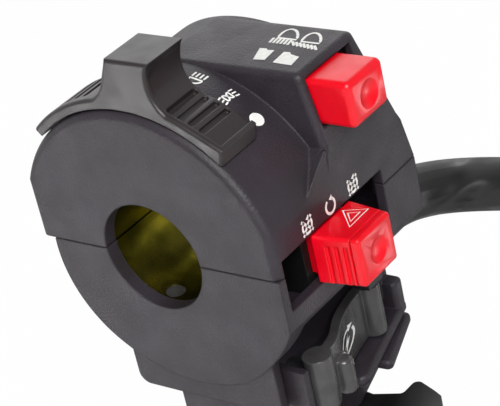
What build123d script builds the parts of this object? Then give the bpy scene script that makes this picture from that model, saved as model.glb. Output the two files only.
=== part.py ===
from build123d import *
from math import atan2, cos, degrees, hypot, pi, radians, sin, tan
import os

os.makedirs("parts", exist_ok=True)

# Lengths are in millimetres. X runs inboard along the handlebar, -Y faces the rider and +Z is up.
# The origin is on the axis of the handlebar bore, at the outboard face of the housing.
# A dial angle is taken about the bore axis, from the rider's side (0) over the top (90).

# Handlebar bore and its plated half liners
bar_d = 22.2
liner_wall = 1.2
liner_from = 3.0
liner_len = 40.0
liner_split = 0.4
seat_gap = 0.05
tube_wall = 1.85
bar_r = bar_d / 2
liner_r = bar_r + liner_wall
seat_r = liner_r + seat_gap
tube_r = seat_r + tube_wall

# Clearances shared by the pieces
run_gap = 0.05
move_gap = 0.3
seam_gap = 0.2
cut_over = 5.0

# Housing, round part
body_r = 30.0
body_len = 46.0
wall = 2.2
front_wall = 2.5
end_wall = 2.5
rim_round = 1.8
panel_cut = 1.4
rear_cut = 2.6
panel_y = panel_cut - body_r
upper_rear_y = body_r - rear_cut
end_slope_share = 0.233
seam = Plane.XY

# Housing, lower outline: shares of the body radius, from the rear seam to the panel lip
lower_rim_shares = (
    (0.80, 0.0), (0.735, -0.39), (0.43, -0.74), (-0.05, -0.905), (-0.54, -0.815), (-0.78, -0.61),
)
lip_z = -10.9

# Top box of the upper shell
box_len = 26.3
box_wall = 1.6
box_rise = 0.5
box_brow = 2.4
box_knee = 0.4
box_x = body_len - box_len
box_top_z = body_r + box_rise
box_rear_y = 5.5
box_brow_y = panel_y + box_brow
box_knee_y = panel_y - box_knee
box_knee_z = 16.0
box_round = 1.4
box_end_round = 3.5
box_foot = 8.0

# Stop slide: slot in the kill panel, red knob on its stem, and the carriage
kill_slot_x = 1.9
kill_slot_spare = 4.0
kill_slot_h = 10.6
kill_z = -2.0
kill_knob_w = 13.4
kill_end_w = 10.6
kill_knob_h = 10.0
kill_knob_out = 9.4
kill_stem_w = 9.4
kill_stem_h = 8.4
kill_rest_x = 17.6
kill_travel = 7.8
kill_slot_len = kill_knob_w + 2 * kill_travel + kill_slot_spare
kill_cap = 1.7
kill_groove = 0.35
kill_groove_depth = 0.3
kill_rib_w = 0.9
kill_rib_pitch = 1.75
kill_rib_depth = 0.45
kill_dimple_r = 2.6
kill_dimple_depth = 0.7
hazard_push = 2.0
hazard_root = 1.0
carriage_side = 1.85
carriage_cheek = 2.7
carriage_rear = 3.5
pocket_gap = 0.25
kill_round = 0.8
board_t = 1.2

# Dimmer slide: slot in the top box, red knob and its carriage
dim_from = 1.9
dim_w = 11.4
dim_h = 9.2
dim_drop = 6.3
dim_out = 6.2
dim_root = 1.6
dim_x = box_x + dim_from
dim_z = box_top_z - dim_drop
dim_out_y = box_knee_y - dim_out
dim_root_y = box_brow_y + dim_root
dim_travel = 2.5
dim_round = 1.3
dim_dimple_r = 2.8
dim_dimple_depth = 0.8
dim_flange = 1.4
dim_side = 0.9
dim_carriage_t = 5.1
shelf_t = 1.4

# Detent balls and their springs, alike in all three switches
ball_r = 1.0
detent_len = 2.9
detent_spring_wall = 0.35

# Light lever, on a ring round the bore tube
lever_x = 0.8
lever_w = 11.0
lever_t = 2.0
lever_round = 0.7
toe_rise = 0.9
toe_from = 61.0
toe_low = 46.0
toe_mid_share = 0.3
scoop_rim = 1.2
scoop_depth = 0.7
scoop_end = 1.6
lever_from = 49.0
lever_to = 133.0
lever_swing = 26.0
lever_rise = 10.3
lever_top_z = body_r + lever_rise
ring_x = 2.9
ring_w = 5.0
ring_t = 2.7
web_x = 3.9
web_w = 4.0
web_angle = 89.0
web_span = 16.0
web_gap_angle = 2.0
grip_len = 8.6
grip_w = 1.3
grip_depth = 0.8
grip_back = 0.5
grip_pitch = 4.3
grip_right = 58.8
grip_left = 106.5
grip_count = 4
lever_r = body_r + move_gap
pad_r = lever_r + lever_t
# Hump outline, as shares of the lever's top height, from its rear foot over the top to the rider's side
hump_shares = (
    (0.206, 0.767), (0.100, 0.825), (0.055, 0.900), (0.024, 0.970), (0.012, 1.0),
    (-0.236, 1.0), (-0.205, 0.866), (-0.335, 0.720),
)
hump_sink_share = 0.96

# Light contact plate and the rib behind it
plate_x = ring_x + ring_w + move_gap
plate_t = 1.5
plate_r = 25.5
plate_from = 50.0
plate_to = 130.0
rib_t = 1.4
rib_r = 19.0

# Lower block, with the starter recess on the rider's side
block_x = 3.0
block_front_y = -19.8
block_rear_y = 14.7
block_low_z = -33.5
block_round = 2.4
recess_x = 5.0
recess_y = -16.6
recess_top_z = -12.3
recess_low_z = -35.6
shelf_z = recess_top_z + 2.0
guard_x = 6.2
guard_t = 1.6
guard_y = -24.0
guard_top_z = -25.0
room_y = recess_y + wall
room_low_z = block_low_z + wall

# Starter paddle, its pin, return spring and contact block
paddle_pivot_x = 35.4
paddle_pivot_y = -19.4
paddle_len = 26.8
paddle_reach = 7.0
paddle_top_z = -24.2
paddle_low_z = -35.2
paddle_t = 2.2
paddle_boss_r = 2.5
pin_r = 1.5
pin_seat = 2.0
lug_t = 2.2
bump_r = 2.9
bump_x = 11.6
bump_y = -23.5
ridge_r = 1.9
ridge_x = 17.0
ridge_y = -25.0
ridge_top_z = -28.0
ridge_round = 1.1
# Face of the paddle, as shares of its length and reach from the bump to the pivot
paddle_shares = (
    (0.14, 0.72), (0.26, 0.76), (0.39, 0.61), (0.50, 0.40), (0.645, 0.21), (0.77, 0.10), (1.0, 0.02),
)
peg_r = 1.3
peg_z = -29.6
peg_hole_r = 2.3
peg_tip_y = -13.2
paddle_spring_wall = 0.7
contact_w = 12.0
contact_depth = 8.0
contact_h = 7.0
contact_pocket = 3.6

# Ledge, lip and choke block under the housing, in plan: the rider's edge of each plate
ledge_top_z = -35.6
ledge_t = 2.2
lip_top_z = -38.2
lip_t = 2.2
plate_corner = 1.2
plate_round = 0.8
choke_low_z = -44.8
choke_block_x = 5.0
choke_block_end_x = 44.0
choke_block_rear_y = 6.5
# Plan corners as shares of the body length and the body radius
ledge_shares = ((0.45, -0.56), (0.45, -0.84), (0.49, -0.868), (1.03, -0.64), (1.03, -0.45))
lip_shares = ((0.64, -0.52), (0.655, -0.86), (1.02, -0.665), (1.02, -0.45), (0.90, -0.40))
end_guard_top_z = -29.6
end_guard_shares = ((0.945, -0.66), (1.02, -0.655), (1.02, -0.50), (0.945, -0.50))
choke_face_shares = ((0.957, -0.53), (0.52, -0.71), (0.109, -0.633))
cable_hole_r = 2.4
cable_hole_y = 2.0
cable_hole_z = -39.5

# Choke lever, washer and pivot screw
choke_x = 24.0
choke_y = -7.0
choke_t = 3.0
choke_hub_r = 7.0
choke_gap = 0.1
washer_r = 5.0
washer_t = 0.6
choke_screw_r = 2.2
choke_screw_head_r = 4.4
choke_screw_head_h = 2.4
choke_screw_len = 9.0
choke_driver = 1.1
# Plan corners of the lever, as shares of its reach from the pivot
choke_reach = 31.0
choke_shares = (
    (0.20, -0.10), (0.14, -0.46), (0.21, -0.64), (0.375, -0.645), (0.305, -0.82), (0.27, -0.89),
    (0.10, -1.0), (-0.14, -0.97), (-0.19, -0.80), (-0.17, -0.50), (-0.22, -0.10),
)
choke_round = 1.2

# Shell screws
screw_xs = (12.0, 38.0)
screw_y = 18.6
screw_r = 1.95
screw_head_r = 3.4
screw_head_h = 2.6
screw_head_z = -14.0
screw_tip_z = 14.0
post_r = 3.4
post_top_z = 19.0
boss_r = 4.2
boss_low_z = -18.0
driver_w = 1.2
driver_l = 4.2
driver_depth = 1.5
# Hook of the upper shell behind the kill panel
hook_x = 36.5
hook_w = 6.0
hook_t = 1.7
hook_low_z = -3.5
hook_top_z = 2.5

# Locating peg of the lower half, in a hole of the bar
key_x = 5.2
key_r = 1.9
key_angle = -98.0

# Loom: sleeve through a grommet, clamp inside, then lead, coil, tie and connector
loom_d = 11.6
loom_y = -8.0
loom_z = -22.6
stub_in = 15.0
stub_x = body_len - stub_in
grommet_neck_r = 6.9
grommet_flange_r = 7.6
grommet_out = 2.5
grommet_in = 1.2
cradle_in = 13.0
cradle_x = body_len - cradle_in
cradle_w = 5.0
clamp_low_y = -14.0
clamp_ear_y = 4.6
clamp_top_z = -15.0
clamp_ear_z = -19.4
clamp_screw_y = 1.6
clamp_screw_r = 1.2
clamp_screw_head_r = 2.2
clamp_screw_head_h = 1.6
clamp_screw_depth = 5.0
lead_points = [(48.5, -8.0, -22.6), (61.0, -8.0, -22.6), (74.0, -10.6, -26.0), (90.0, -18.5, -33.0),
               (110.0, -30.5, -44.0), (130.5, -43.5, -57.5), (151.0, -57.5, -70.0)]
coil_r = 64.0
coil_step = 3.25
coil_end_r = 36.0
coil_end_turn = 110.0
tie_w = 4.6
tie_t = 1.2
tie_gap = 0.1
plug_w = 16.0
plug_h = 12.0
plug_neck = 6.0
plug_len = 22.0
plug_wall = 1.5
plug_pocket = 14.0
plug_round = 1.0
terminal_w = 2.0
terminal_t = 0.8
terminal_len = 9.0
terminal_pitch = 4.2
loom_r = loom_d / 2


# Shapes that several pieces share

def dial(radius, angle):
    # Point in the YZ plane at a dial angle about the bore axis
    return -radius * cos(radians(angle)), radius * sin(radians(angle))


def scaled(shares, across, along):
    # Outline points from shares of two named sizes
    return [(share[0] * across, share[1] * along) for share in shares]


def sector(r_in, r_out, angle_from, angle_to):
    # Ring sector between two dial angles, on the active sketch
    start = 180 - angle_to
    span = angle_to - angle_from
    with BuildLine() as outline:
        inner = CenterArc((0, 0), r_in, start, span)
        outer = CenterArc((0, 0), r_out, start, span)
        Line(inner @ 0, outer @ 0)
        Line(inner @ 1, outer @ 1)
    make_face(outline.edges())


def end_plane(back):
    # Sloping inboard end of the upper shell, moved outboard by the given distance
    return Plane(origin=(body_len - back, 0, 0), z_dir=(1, 0, end_slope_share))


def span_box(x_from, x_to, y_from, y_to, z_from, z_to):
    # Block between two corners, as a loose shape
    with BuildPart() as block:
        with BuildSketch(Plane.XY.offset(z_from)):
            with Locations(((x_from + x_to) / 2, (y_from + y_to) / 2)):
                Rectangle(x_to - x_from, y_to - y_from)
        extrude(amount=z_to - z_from)
    return block.part


def upper_bar(inset, front_x, back):
    # Round part of the upper shell, or its room when inset
    with BuildPart() as form:
        with BuildSketch(Plane.YZ.offset(front_x)):
            Circle(body_r - inset)
            with Locations(((panel_y + upper_rear_y) / 2, body_r / 2)):
                Rectangle(upper_rear_y - panel_y - 2 * inset, body_r, mode=Mode.INTERSECT)
        extrude(amount=body_len - front_x)
        split(bisect_by=end_plane(back), keep=Keep.BOTTOM)
    return form.part


def upper_box(inset, back):
    # Top box of the upper shell, or its room when inset
    crease_z = (body_r ** 2 - panel_y ** 2) ** 0.5
    with BuildPart() as form:
        with BuildSketch(Plane.YZ.offset(box_x + inset)):
            with BuildLine():
                Polyline((box_rear_y, 0), (box_rear_y, box_top_z), (box_brow_y, box_top_z),
                         (box_knee_y, box_knee_z), (panel_y, crease_z), (panel_y, 0), close=True)
            make_face()
            offset(amount=-inset, kind=Kind.INTERSECTION)
        extrude(amount=body_len - box_x - inset)
        split(bisect_by=end_plane(back), keep=Keep.BOTTOM)
        if not inset:
            # The inboard end is rounder than the other edges
            inboard = form.faces().sort_by(Axis.X)[-1].edges()
            fillet(inboard.filter_by(lambda edge: edge.center().Z > box_knee_z), box_end_round)
            top = form.edges().group_by(Axis.Z)[-1].sort_by(Axis.X)[:-1]
            front = form.edges().filter_by(Plane.YZ).filter_by(
                lambda edge: edge.center().Y < box_brow_y and edge.center().Z > box_knee_z
            )
            fillet(ShapeList(set(top + front)), box_round)
    return form.part


def lower_bar(inset, front_x, back):
    # Round part of the lower shell, or its room when inset
    rim = scaled(lower_rim_shares, body_r, body_r)
    with BuildPart() as form:
        with BuildSketch(Plane.YZ.offset(front_x)):
            with BuildLine():
                Line((rim[0][0], wall), rim[0])
                ThreePointArc(*rim[0:3])
                ThreePointArc(*rim[2:5])
                ThreePointArc(*rim[4:6], (panel_y, lip_z))
                Line((panel_y, lip_z), (panel_y, wall))
                Line((panel_y, wall), (rim[0][0], wall))
            make_face()
            if inset:
                offset(amount=-inset, kind=Kind.INTERSECTION)
        extrude(amount=body_len - back - front_x)
        split(bisect_by=seam, keep=Keep.BOTTOM)
    return form.part


def lower_block():
    # Box under the round part, with its rounded rear corner
    with BuildPart() as form:
        add(span_box(block_x, body_len, block_front_y, block_rear_y, block_low_z, recess_top_z))
        rear_low = form.edges().filter_by(Axis.X).group_by(Axis.Z)[0].sort_by(Axis.Y)[-1]
        fillet(rear_low, block_round)
    return form.part


def plan_plate(points, top_z, thick):
    # Flat plate from its plan corners
    with BuildPart() as form:
        with BuildSketch(Plane.XY.offset(top_z - thick)):
            with BuildLine():
                Polyline(*points, close=True)
            make_face()
        extrude(amount=thick)
    return form.part


def soft_plate(points, top_z, thick):
    # Flat plate with rounded corners and edges
    with BuildPart() as form:
        add(plan_plate(points, top_z, thick))
        fillet(form.edges().filter_by(Axis.Z), plate_corner)
        levels = form.edges().group_by(Axis.Z)
        fillet(levels[0] + levels[-1], plate_round)
    return form.part


def detent(x, y, z, direction):
    # Ball and spring sleeve in a blind bore, with the ball at the mouth
    mouth = Plane(origin=(x, y, z), z_dir=direction)
    with BuildPart() as ball:
        with Locations(mouth.offset(-ball_r + move_gap - run_gap)):
            Sphere(ball_r)
    with BuildPart() as spring:
        with BuildSketch(mouth.offset(-detent_len)):
            Circle(ball_r)
            Circle(ball_r - detent_spring_wall, mode=Mode.SUBTRACT)
        extrude(amount=detent_len - 2 * ball_r + move_gap - run_gap)
    return ball.part, spring.part


def detent_bore(x, y, z, direction):
    # Blind bore for a detent, cut in the active part
    with BuildSketch(Plane(origin=(x, y, z), z_dir=direction)) as mouth:
        Circle(ball_r + run_gap)
    extrude(mouth.sketch, amount=-detent_len, mode=Mode.SUBTRACT)


# Upper shell
upper_outer = upper_bar(0, 0, 0)
upper_room = upper_bar(wall, front_wall, end_wall)
box_outer = upper_box(0, 0)
box_room = upper_box(box_wall, end_wall)
slot_from = web_angle - web_span / 2 - web_gap_angle
slot_to = web_angle + web_span / 2 + lever_swing + web_gap_angle

with BuildPart() as upper_shell:
    add(upper_outer)
    rim_edges = upper_shell.edges().group_by(Axis.X)[0].filter_by(lambda edge: edge.center().Z > 0)
    fillet(rim_edges, rim_round)
    add(box_outer)
    # Foot of the box, which runs out on the round part
    knee_y = -((body_r - wall) ** 2 - box_knee_z ** 2) ** 0.5
    crease_z = (body_r ** 2 - panel_y ** 2) ** 0.5
    foot_tip = (panel_y + seam_gap, crease_z + seam_gap)
    for x, top_y, top_z in ((box_x, box_knee_y, box_knee_z), (box_x - box_foot, *foot_tip)):
        with BuildSketch(Plane.YZ.offset(x)):
            with BuildLine():
                Polyline((top_y, top_z), (panel_y, crease_z), (knee_y, crease_z), (knee_y, top_z), close=True)
            make_face()
    loft(ruled=True)
    add(upper_room, mode=Mode.SUBTRACT)
    add(box_room, mode=Mode.SUBTRACT)
    # Bore tube, plate rib and screw posts
    with BuildSketch(Plane.YZ.offset(front_wall)):
        sector(bar_r, tube_r, 0, 180)
    extrude(amount=body_len - front_wall - end_wall - tube_r * end_slope_share)
    with BuildSketch(Plane.YZ.offset(plate_x + plate_t)):
        sector(bar_r, rib_r, plate_from, plate_to)
    extrude(amount=rib_t)
    with BuildSketch(seam):
        with Locations(*[(x, screw_y) for x in screw_xs]):
            Circle(post_r)
    extrude(amount=post_top_z)
    # Shelf under the dimmer and guide rib over the stop carriage
    dim_low_z = dim_z - dim_h / 2 - dim_flange
    dim_shelf_z = dim_low_z - move_gap
    shelf_end_x = body_len - end_wall - end_slope_share * dim_z
    add(span_box(box_x, shelf_end_x, box_knee_y + box_wall, -rib_r + 2 * shelf_t,
                 dim_shelf_z - shelf_t, dim_shelf_z))
    guide_z = kill_z + kill_knob_h / 2 + carriage_cheek + move_gap
    add(span_box(front_wall, kill_slot_x + kill_slot_len, panel_y + wall / 2, -tube_r - ring_t - 2 * shelf_t,
                 guide_z, guide_z + shelf_t))
    # Openings for the bar, liner, lever web, dimmer knob, stop knob and screws
    with BuildSketch(Plane.YZ.offset(-cut_over)):
        Circle(bar_r)
    extrude(amount=body_len + 2 * cut_over, mode=Mode.SUBTRACT)
    with BuildSketch(Plane.YZ.offset(liner_from)):
        Circle(seat_r)
    extrude(amount=body_len, mode=Mode.SUBTRACT)
    with BuildSketch(Plane.YZ.offset(web_x - move_gap)):
        sector(body_r - wall - cut_over, body_r + cut_over, slot_from, slot_to)
    extrude(amount=web_w + 2 * move_gap, mode=Mode.SUBTRACT)
    add(span_box(dim_x - move_gap, dim_x + dim_w + dim_travel + move_gap, dim_out_y, dim_root_y,
                 dim_z - dim_h / 2 - move_gap, dim_z + dim_h / 2 + move_gap), mode=Mode.SUBTRACT)
    add(span_box(kill_slot_x, kill_slot_x + kill_slot_len, panel_y - cut_over, panel_y + wall + run_gap,
                 kill_z - kill_slot_h / 2, kill_z + kill_slot_h / 2), mode=Mode.SUBTRACT)
    with BuildSketch(seam):
        with Locations(*[(x, screw_y) for x in screw_xs]):
            Circle(screw_r + seat_gap)
    extrude(amount=screw_tip_z + move_gap, mode=Mode.SUBTRACT)
    split(bisect_by=seam.offset(seam_gap / 2), keep=Keep.TOP)
    # Hook behind the kill panel
    add(span_box(hook_x, hook_x + hook_w, panel_y + wall + run_gap, panel_y + wall + run_gap + hook_t,
                 hook_low_z, hook_top_z))
    add(span_box(hook_x, hook_x + hook_w, panel_y + wall / 2, panel_y + wall + hook_t,
                 seam_gap, hook_top_z))
upper_shell.part.label = "upper_shell"
export_step(upper_shell.part, "parts/upper_shell.step")

# Lower shell
lower_outer = lower_bar(0, 0, 0)
lower_room = lower_bar(wall, front_wall, end_wall)
block_outer = lower_block()
recess = span_box(recess_x, body_len + cut_over, panel_y - cut_over, recess_y, recess_low_z, recess_top_z)
under_shelf = span_box(-cut_over, body_len + cut_over, panel_y - cut_over, room_y,
                       room_low_z - cut_over, shelf_z)
block_room = span_box(recess_x, body_len - end_wall, room_y, block_rear_y - wall, room_low_z, 0)
ledge_plate = soft_plate(scaled(ledge_shares, body_len, body_r), ledge_top_z, ledge_t)
lip_plate = soft_plate(scaled(lip_shares, body_len, body_r), lip_top_z, lip_t)
end_guard = soft_plate(scaled(end_guard_shares, body_len, body_r), end_guard_top_z,
                       end_guard_top_z - ledge_top_z + ledge_t / 2)
choke_plan = [(choke_block_x, choke_block_rear_y), (choke_block_end_x, choke_block_rear_y)]
choke_plan += scaled(choke_face_shares, body_len, body_r)

with BuildPart() as hollow:
    add(lower_room)
    add(under_shelf, mode=Mode.SUBTRACT)
    add(block_room)

with BuildPart() as lower_shell:
    add(lower_outer)
    add(block_outer)
    add(plan_plate(choke_plan, block_low_z + wall, block_low_z + wall - choke_low_z))
    add(recess, mode=Mode.SUBTRACT)
    add(ledge_plate)
    add(lip_plate)
    add(end_guard)
    # Guard rib beside the paddle and the lug over its pivot
    add(span_box(guard_x, guard_x + guard_t, guard_y, recess_y + wall, recess_low_z - ledge_t, guard_top_z))
    lug_z = paddle_top_z + move_gap
    add(span_box(paddle_pivot_x - paddle_boss_r, paddle_pivot_x + paddle_boss_r,
                 paddle_pivot_y - paddle_boss_r, recess_y + wall, lug_z, lug_z + lug_t))
    with BuildSketch(seam):
        with Locations(*[(x, screw_y) for x in screw_xs]):
            Circle(boss_r)
    extrude(amount=boss_low_z)
    add(hollow.part, mode=Mode.SUBTRACT)
    # Bore tube, screw posts and the cradle under the loom
    with BuildSketch(Plane.YZ.offset(front_wall)):
        sector(bar_r, tube_r, -180, 0)
    extrude(amount=body_len - front_wall - end_wall)
    with BuildSketch(seam):
        with Locations(*[(x, screw_y) for x in screw_xs]):
            Circle(post_r)
    extrude(amount=screw_head_z)
    add(span_box(cradle_x, cradle_x + cradle_w, room_y, clamp_ear_y, room_low_z, loom_z))
    # Openings for the bar, liner, stop knob, loom, peg, pin, screws and choke
    with BuildSketch(Plane.YZ.offset(-cut_over)):
        Circle(bar_r)
    extrude(amount=body_len + 2 * cut_over, mode=Mode.SUBTRACT)
    with BuildSketch(Plane.YZ.offset(liner_from)):
        Circle(seat_r)
    extrude(amount=body_len, mode=Mode.SUBTRACT)
    add(span_box(kill_slot_x, kill_slot_x + kill_slot_len, panel_y - cut_over, panel_y + wall + run_gap,
                 kill_z - kill_slot_h / 2, kill_z + kill_slot_h / 2), mode=Mode.SUBTRACT)
    with BuildSketch(Plane.YZ.offset(stub_x)):
        with Locations((loom_y, loom_z)):
            Circle(loom_r + run_gap)
    extrude(amount=body_len, mode=Mode.SUBTRACT)
    with BuildSketch(Plane.YZ.offset(body_len - end_wall - grommet_in)):
        with Locations((loom_y, loom_z)):
            Circle(grommet_neck_r + run_gap)
    extrude(amount=body_len, mode=Mode.SUBTRACT)
    with BuildSketch(Plane.XZ.offset(-recess_y)):
        with Locations((bump_x, peg_z)):
            Circle(peg_hole_r)
    extrude(amount=wall, both=True, mode=Mode.SUBTRACT)
    with BuildSketch(Plane.XY.offset(recess_low_z - pin_seat)):
        with Locations((paddle_pivot_x, paddle_pivot_y)):
            Circle(pin_r + run_gap)
    extrude(amount=lug_z + lug_t - recess_low_z, mode=Mode.SUBTRACT)
    with BuildSketch(Plane.XY.offset(clamp_ear_z - clamp_screw_head_h - clamp_screw_depth)):
        with Locations((cradle_x + cradle_w / 2, clamp_screw_y)):
            Circle(clamp_screw_r + run_gap)
    extrude(amount=clamp_screw_depth + cut_over, mode=Mode.SUBTRACT)
    with BuildSketch(seam):
        with Locations(*[(x, screw_y) for x in screw_xs]):
            Circle(screw_r + seat_gap)
    extrude(amount=screw_head_z, mode=Mode.SUBTRACT)
    with BuildSketch(Plane.XY.offset(screw_head_z)):
        with Locations(*[(x, screw_y) for x in screw_xs]):
            Circle(screw_head_r + seat_gap)
    extrude(amount=boss_low_z - cut_over, mode=Mode.SUBTRACT)
    with BuildSketch(Plane.XY.offset(choke_low_z)):
        with Locations((choke_x, choke_y)):
            Circle(choke_screw_r + run_gap)
    extrude(amount=choke_screw_len, mode=Mode.SUBTRACT)
    with BuildSketch(Plane.YZ.offset(choke_x)):
        with Locations((cable_hole_y, cable_hole_z)):
            Circle(cable_hole_r)
    extrude(amount=body_len, mode=Mode.SUBTRACT)
    key_y, key_z = dial(bar_r, key_angle)
    with BuildSketch(Plane(origin=(key_x, 0, 0), z_dir=(0, key_y, key_z))):
        Circle(key_r + seat_gap)
    extrude(amount=tube_r, mode=Mode.SUBTRACT)
    split(bisect_by=seam.offset(-seam_gap / 2), keep=Keep.BOTTOM)
lower_shell.part.label = "lower_shell"
export_step(lower_shell.part, "parts/lower_shell.step")

# Bar liner, in two halves, and the locating peg
for name, angle_from in (("bar_liner_upper", 0), ("bar_liner_lower", -180)):
    side = 1 if angle_from == 0 else -1
    with BuildPart() as liner:
        with BuildSketch(Plane.YZ.offset(liner_from)):
            sector(bar_r, liner_r, angle_from, angle_from + 180)
        extrude(amount=liner_len)
        split(bisect_by=seam.offset(side * liner_split / 2), keep=Keep.TOP if side > 0 else Keep.BOTTOM)
        if side < 0:
            with BuildSketch(Plane(origin=(key_x, 0, 0), z_dir=(0, key_y, key_z))):
                Circle(key_r + run_gap)
            extrude(amount=tube_r, mode=Mode.SUBTRACT)
    liner.part.label = name
    export_step(liner.part, f"parts/{name}.step")

with BuildPart() as bar_locating_peg:
    with BuildSketch(Plane(origin=(key_x, 0, 0), z_dir=(0, key_y, key_z)).offset(bar_r + run_gap)):
        Circle(key_r)
    extrude(amount=liner_wall + tube_wall / 2)
bar_locating_peg.part.label = "bar_locating_peg"
export_step(bar_locating_peg.part, "parts/bar_locating_peg.step")

# Shell screws: pan head, slotted, with the shank up into the posts
with BuildPart() as shell_screws:
    with BuildSketch(Plane.XY.offset(screw_head_z)):
        with Locations(*[(x, screw_y) for x in screw_xs]):
            Circle(screw_r)
    extrude(amount=screw_tip_z - screw_head_z)
    with BuildSketch(Plane.XY.offset(screw_head_z)):
        with Locations(*[(x, screw_y) for x in screw_xs]):
            Circle(screw_head_r)
    extrude(amount=-screw_head_h)
    with BuildSketch(Plane.XY.offset(screw_head_z - screw_head_h)):
        with Locations(*[(x, screw_y) for x in screw_xs]):
            Rectangle(driver_l, driver_w)
            Rectangle(driver_w, driver_l)
    extrude(amount=driver_depth, mode=Mode.SUBTRACT)
shell_screws.part.label = "shell_screws"
export_step(shell_screws.part, "parts/shell_screws.step")

# Light lever
hump = scaled(hump_shares, lever_top_z, lever_top_z)
foot = [(y * hump_sink_share, z * hump_sink_share) for y, z in (hump[-1], hump[0])]
detent_r = (ring_t + tube_r + body_r - wall) / 2
with BuildPart() as light_lever:
    with BuildSketch(Plane.YZ.offset(lever_x)):
        sector(lever_r, pad_r, lever_from, lever_to)
        with BuildLine():
            ThreePointArc(hump[0], hump[1], hump[2])
            Polyline(hump[2], hump[3], hump[4], hump[5])
            ThreePointArc(hump[5], hump[6], hump[7])
            Line(hump[7], foot[0])
            ThreePointArc(foot[0], (0, lever_r + run_gap), foot[1])
            Line(foot[1], hump[0])
        make_face()
        # Toe: the rider's end of the pad thickens
        with BuildLine():
            toe_out = ThreePointArc(dial(pad_r, toe_from),
                                    dial(pad_r + toe_mid_share * toe_rise, (toe_from + lever_from) / 2),
                                    dial(pad_r + toe_rise, lever_from))
            toe_in = ThreePointArc(dial(lever_r, toe_low), dial(lever_r, lever_from), dial(lever_r, toe_from))
            Line(toe_out @ 1, toe_in @ 0)
            Line(toe_in @ 1, toe_out @ 0)
        make_face()
    extrude(amount=lever_w)
    outer_edges = light_lever.edges().filter_by(Plane.YZ).filter_by(
        lambda edge: hypot(edge.center().Y, edge.center().Z) > lever_r + lever_t / 2
    )
    fillet(outer_edges, lever_round)
    # Scoop of the rider's side, inside a rim on the outboard edge, the top and the toe
    floor_r = pad_r - scoop_depth
    scoop_low = 180 - degrees(atan2(hump[7][1], hump[7][0]))
    with BuildSketch(Plane.YZ.offset(lever_x + scoop_rim)):
        with BuildLine():
            scoop_wall = ThreePointArc((hump[5][0] + scoop_depth, hump[5][1] - scoop_rim),
                                       (hump[6][0] + scoop_depth, hump[6][1]), dial(floor_r, scoop_low))
            scoop_floor = ThreePointArc(scoop_wall @ 1, dial(floor_r, (scoop_low + lever_from) / 2),
                                        dial(floor_r, lever_from + scoop_end))
            Polyline(scoop_floor @ 1, dial(pad_r + cut_over, lever_from + scoop_end),
                     (hump[5][0] - cut_over, hump[5][1] - scoop_rim), scoop_wall @ 0)
        make_face()
    extrude(amount=lever_w, mode=Mode.SUBTRACT)
    # Grips: slots across both pads
    for first, depth in ((grip_right, scoop_depth + grip_depth), (grip_left, grip_depth)):
        for count in range(grip_count):
            y, z = dial(pad_r, first + count * grip_pitch)
            grip_x = lever_x + lever_w - grip_back - grip_len / 2
            with BuildSketch(Plane(origin=(grip_x, y, z), x_dir=(1, 0, 0), z_dir=(0, y, z))):
                SlotOverall(grip_len, grip_w)
            extrude(amount=-depth, mode=Mode.SUBTRACT)
    # Web and ring inside the housing
    with BuildSketch(Plane.YZ.offset(web_x)):
        sector(tube_r + ring_t / 2, lever_r + lever_t / 2, web_angle - web_span / 2, web_angle + web_span / 2)
    extrude(amount=web_w)
    with BuildSketch(Plane.YZ.offset(ring_x)):
        Circle(tube_r + ring_t)
    extrude(amount=ring_w)
    with BuildSketch(Plane.YZ.offset(ring_x)):
        Circle(tube_r + run_gap)
    extrude(amount=ring_w, mode=Mode.SUBTRACT)
    detent_y, detent_z = dial(detent_r, web_angle)
    detent_bore(web_x + web_w, detent_y, detent_z, (1, 0, 0))
light_lever.part.label = "light_lever"
export_step(light_lever.part, "parts/light_lever.step")

light_ball, light_spring = detent(web_x + web_w, detent_y, detent_z, (1, 0, 0))
for name, piece in (("light_detent_ball", light_ball), ("light_detent_spring", light_spring)):
    piece.label = name
    export_step(piece, f"parts/{name}.step")

with BuildPart() as light_contact_plate:
    with BuildSketch(Plane.YZ.offset(plate_x)):
        sector(tube_r + run_gap, plate_r, plate_from, plate_to)
    extrude(amount=plate_t)
light_contact_plate.part.label = "light_contact_plate"
export_step(light_contact_plate.part, "parts/light_contact_plate.step")


def knob(x, z, width, end_width, height, root_y, out_y, corner, dimple_r, dimple_depth):
    # Rounded push knob about the middle x, with a finger dimple in its outer face
    with BuildPart() as form:
        for y, across in ((root_y, width), (out_y, end_width)):
            with BuildSketch(Plane.XZ.offset(-y)):
                with Locations((x, z)):
                    Rectangle(across, height)
        loft(ruled=True)
        fillet(form.edges().filter_by(Plane.XZ, reverse=True) + form.edges().group_by(Axis.Y)[0], corner)
        ball = (dimple_r ** 2 + dimple_depth ** 2) / (2 * dimple_depth)
        with Locations((x, out_y + dimple_depth - ball, z)):
            Sphere(ball, mode=Mode.SUBTRACT)
    return form.part


# Dimmer knob, carriage, contact board and detent
with BuildPart() as dimmer_knob:
    add(knob(dim_x + dim_w / 2, dim_z, dim_w, dim_w, dim_h, dim_root_y, dim_out_y, dim_round, dim_dimple_r,
             dim_dimple_depth))
dimmer_knob.part.label = "dimmer_knob"
export_step(dimmer_knob.part, "parts/dimmer_knob.step")

dim_rear_y = dim_root_y + dim_carriage_t
dim_detent_x = dim_x + dim_w / 2
box_roof_z = box_top_z - box_wall
with BuildPart() as dimmer_carriage:
    add(span_box(dim_x, dim_x + dim_w + dim_side, dim_root_y, dim_rear_y, dim_low_z, box_roof_z - move_gap))
    detent_bore(dim_detent_x, dim_rear_y, dim_z, (0, 1, 0))
dimmer_carriage.part.label = "dimmer_carriage"
export_step(dimmer_carriage.part, "parts/dimmer_carriage.step")

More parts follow.
